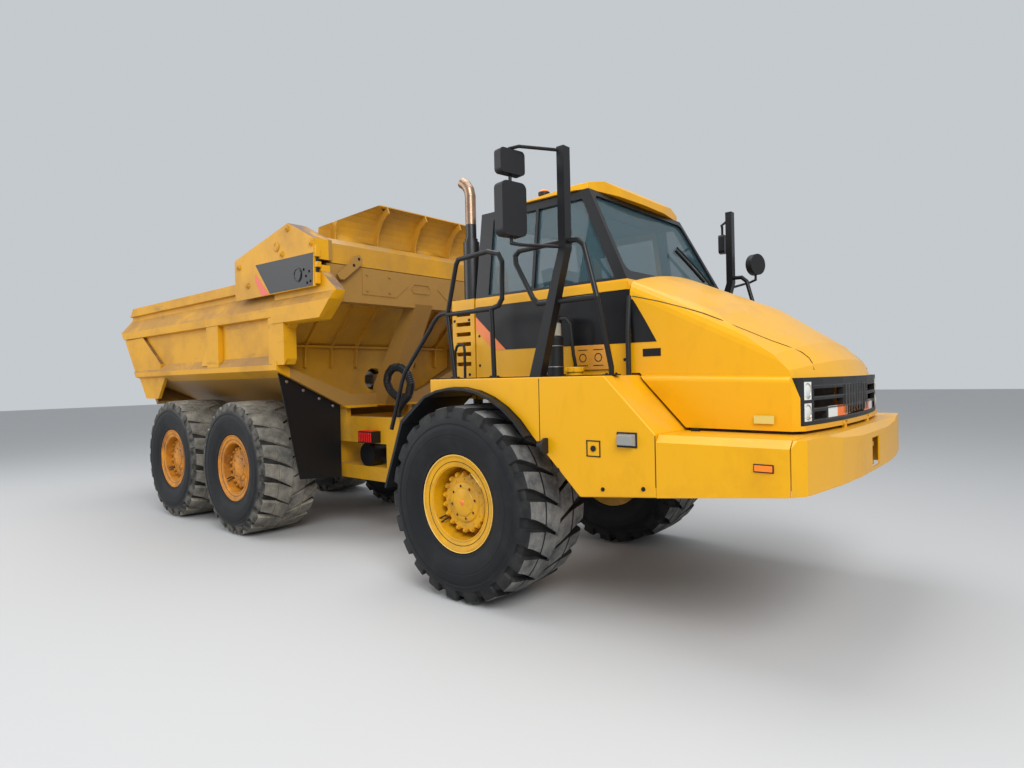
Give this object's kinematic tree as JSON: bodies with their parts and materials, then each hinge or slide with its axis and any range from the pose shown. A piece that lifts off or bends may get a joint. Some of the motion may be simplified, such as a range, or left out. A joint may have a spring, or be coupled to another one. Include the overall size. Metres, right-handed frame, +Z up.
{
  "type": "articulated ejector truck",
  "caption": "Articulated truck in worn yellow paint: a hinged tractor half, a rear half with an ejector body, tandem rear axles, wide lugged tyres and black handrails.",
  "frame": {"origin": "on the ground under the middle of the truck's length and width", "axes": "+X forward, +Y to the driver's left, +Z up"},
  "size_m": [10.08, 3.5091, 3.6979],
  "materials": {
    "yellow_paint": "satin",
    "worn_yellow": "matte",
    "black_paint": "satin",
    "bare_steel": "polished",
    "bright_steel": "polished",
    "engine_iron": "matte",
    "tyre_rubber": "matte",
    "flare_rubber": "matte",
    "hose_rubber": "satin",
    "black_plastic": "matte",
    "seat_fabric": "matte",
    "window_glass": "clear",
    "lamp_lens": "clear"
  },
  "bodies": {
    "tractor": {"front_frame": "yellow_paint", "front_fork": "yellow_paint", "cab_frame": "black_paint", "engine": "engine_iron", "front_axle": "yellow_paint", "fender_right": "yellow_paint", "fender_left": "yellow_paint", "arch_flares": "flare_rubber", "bumper": "yellow_paint", "cab_shell": "yellow_paint", "cab_roof": "yellow_paint", "cab_windows": "window_glass", "seat": "seat_fabric", "dash": "black_plastic", "exhaust": "bright_steel", "cowl": "yellow_paint", "handrails": "black_paint", "mirror_posts": "black_paint", "mirrors": "black_plastic"},
    "hood": {"hood_shell": "yellow_paint", "grille": "black_plastic", "lamps": "lamp_lens"},
    "door": {"cab_door": "yellow_paint", "door_window": "window_glass"},
    "hitch": {"hitch": "yellow_paint"},
    "rear": {"rear_frame": "yellow_paint", "frame_gear": "black_paint", "rear_axles": "yellow_paint", "walking_beams": "yellow_paint", "load_body": "yellow_paint", "head_frame": "yellow_paint", "mudguards": "black_paint", "hose": "hose_rubber", "ejector_rod": "bare_steel"},
    "stage_a": {"ejector_stage_a": "bare_steel"},
    "stage_b": {"ejector_stage_b": "bare_steel"},
    "blade": {"ejector_blade": "yellow_paint", "carriages": "yellow_paint", "ejector_barrel": "black_paint"},
    "tailgate": {"tailgate": "yellow_paint"},
    "steer_barrel_right": {"steer_barrel_right": "black_paint"},
    "steer_rod_right": {"steer_rod_right": "bare_steel"},
    "steer_barrel_left": {"steer_barrel_left": "black_paint"},
    "steer_rod_left": {"steer_rod_left": "bare_steel"},
    "wheel_front_right": {"tyre_front_right": "tyre_rubber", "rim_front_right": "yellow_paint"},
    "wheel_front_left": {"tyre_front_left": "tyre_rubber", "rim_front_left": "yellow_paint"},
    "wheel_mid_right": {"tyre_mid_right": "tyre_rubber", "rim_mid_right": "worn_yellow"},
    "wheel_mid_left": {"tyre_mid_left": "tyre_rubber", "rim_mid_left": "worn_yellow"},
    "wheel_rear_right": {"tyre_rear_right": "tyre_rubber", "rim_rear_right": "worn_yellow"},
    "wheel_rear_left": {"tyre_rear_left": "tyre_rubber", "rim_rear_left": "worn_yellow"}
  },
  "joints": [
    {"name": "hood_tilt", "type": "hinge", "parent": "tractor", "child": "hood", "pos_m": [4.919, 0, 1.436], "axis": [0, 1, 0], "range_deg": [0, 60]},
    {"name": "door_swing", "type": "hinge", "parent": "tractor", "child": "door", "pos_m": [2.195, 0.922, 2.1], "axis": [0, 0, 1], "range_deg": [0, 80]},
    {"name": "steering", "type": "hinge", "parent": "tractor", "child": "hitch", "pos_m": [0.91, 0, 0.87], "axis": [0, 0, 1], "range_deg": [-45, 45]},
    {"name": "oscillation", "type": "hinge", "parent": "hitch", "child": "rear", "pos_m": [0.3, 0, 0.87], "axis": [1, 0, 0], "range_deg": [-12, 12]},
    {"name": "ejector", "type": "slide", "parent": "rear", "child": "blade", "axis": [-1, 0, 0], "range_m": [0, 3.6]},
    {"name": "ejector_stage_a", "type": "slide", "parent": "rear", "child": "stage_a", "axis": [-1, 0, 0], "range_m": [0, 1.2]},
    {"name": "ejector_stage_b", "type": "slide", "parent": "rear", "child": "stage_b", "axis": [-1, 0, 0], "range_m": [0, 2.4]},
    {"name": "tailgate_drop", "type": "hinge", "parent": "rear", "child": "tailgate", "pos_m": [-4.1, 0, 1.48], "axis": [0, -1, 0], "range_deg": [0, 86]},
    {"name": "steer_barrel_right", "type": "hinge", "parent": "tractor", "child": "steer_barrel_right", "pos_m": [1.91, -0.42, 0.88], "axis": [0, 0, 1], "range_deg": [-5, 5]},
    {"name": "steer_rod_right", "type": "slide", "parent": "steer_barrel_right", "child": "steer_rod_right", "axis": [-0.9994, 0.0342, 0], "range_m": [-0.29, 0.29]},
    {"name": "steer_barrel_left", "type": "hinge", "parent": "tractor", "child": "steer_barrel_left", "pos_m": [1.91, 0.42, 0.88], "axis": [0, 0, 1], "range_deg": [-5, 5]},
    {"name": "steer_rod_left", "type": "slide", "parent": "steer_barrel_left", "child": "steer_rod_left", "axis": [-0.9994, -0.0342, 0], "range_m": [-0.29, 0.29]},
    {"name": "wheel_front_right", "type": "hinge", "parent": "tractor", "child": "wheel_front_right", "pos_m": [2.36, -1.1375, 0.79], "axis": [0, 1, 0], "continuous": true},
    {"name": "wheel_front_left", "type": "hinge", "parent": "tractor", "child": "wheel_front_left", "pos_m": [2.36, 1.1375, 0.79], "axis": [0, 1, 0], "continuous": true},
    {"name": "wheel_mid_right", "type": "hinge", "parent": "rear", "child": "wheel_mid_right", "pos_m": [-1.42, -1.1375, 0.79], "axis": [0, 1, 0], "continuous": true},
    {"name": "wheel_mid_left", "type": "hinge", "parent": "rear", "child": "wheel_mid_left", "pos_m": [-1.42, 1.1375, 0.79], "axis": [0, 1, 0], "continuous": true},
    {"name": "wheel_rear_right", "type": "hinge", "parent": "rear", "child": "wheel_rear_right", "pos_m": [-3.17, -1.1375, 0.79], "axis": [0, 1, 0], "continuous": true},
    {"name": "wheel_rear_left", "type": "hinge", "parent": "rear", "child": "wheel_rear_left", "pos_m": [-3.17, 1.1375, 0.79], "axis": [0, 1, 0], "continuous": true}
  ],
  "couplings": [
    {"joint": "ejector_stage_a", "follows": "ejector", "ratio": 0.3333},
    {"joint": "ejector_stage_b", "follows": "ejector", "ratio": 0.6666},
    {"joint": "tailgate_drop", "follows": "ejector", "rad_per_m": 0.4166},
    {"joint": "steer_barrel_right", "follows": "steering", "ratio": 0.0988},
    {"joint": "steer_rod_right", "follows": "steering", "m_per_rad": -0.36},
    {"joint": "steer_barrel_left", "follows": "steering", "ratio": 0.0988},
    {"joint": "steer_rod_left", "follows": "steering", "m_per_rad": 0.36}
  ]
}
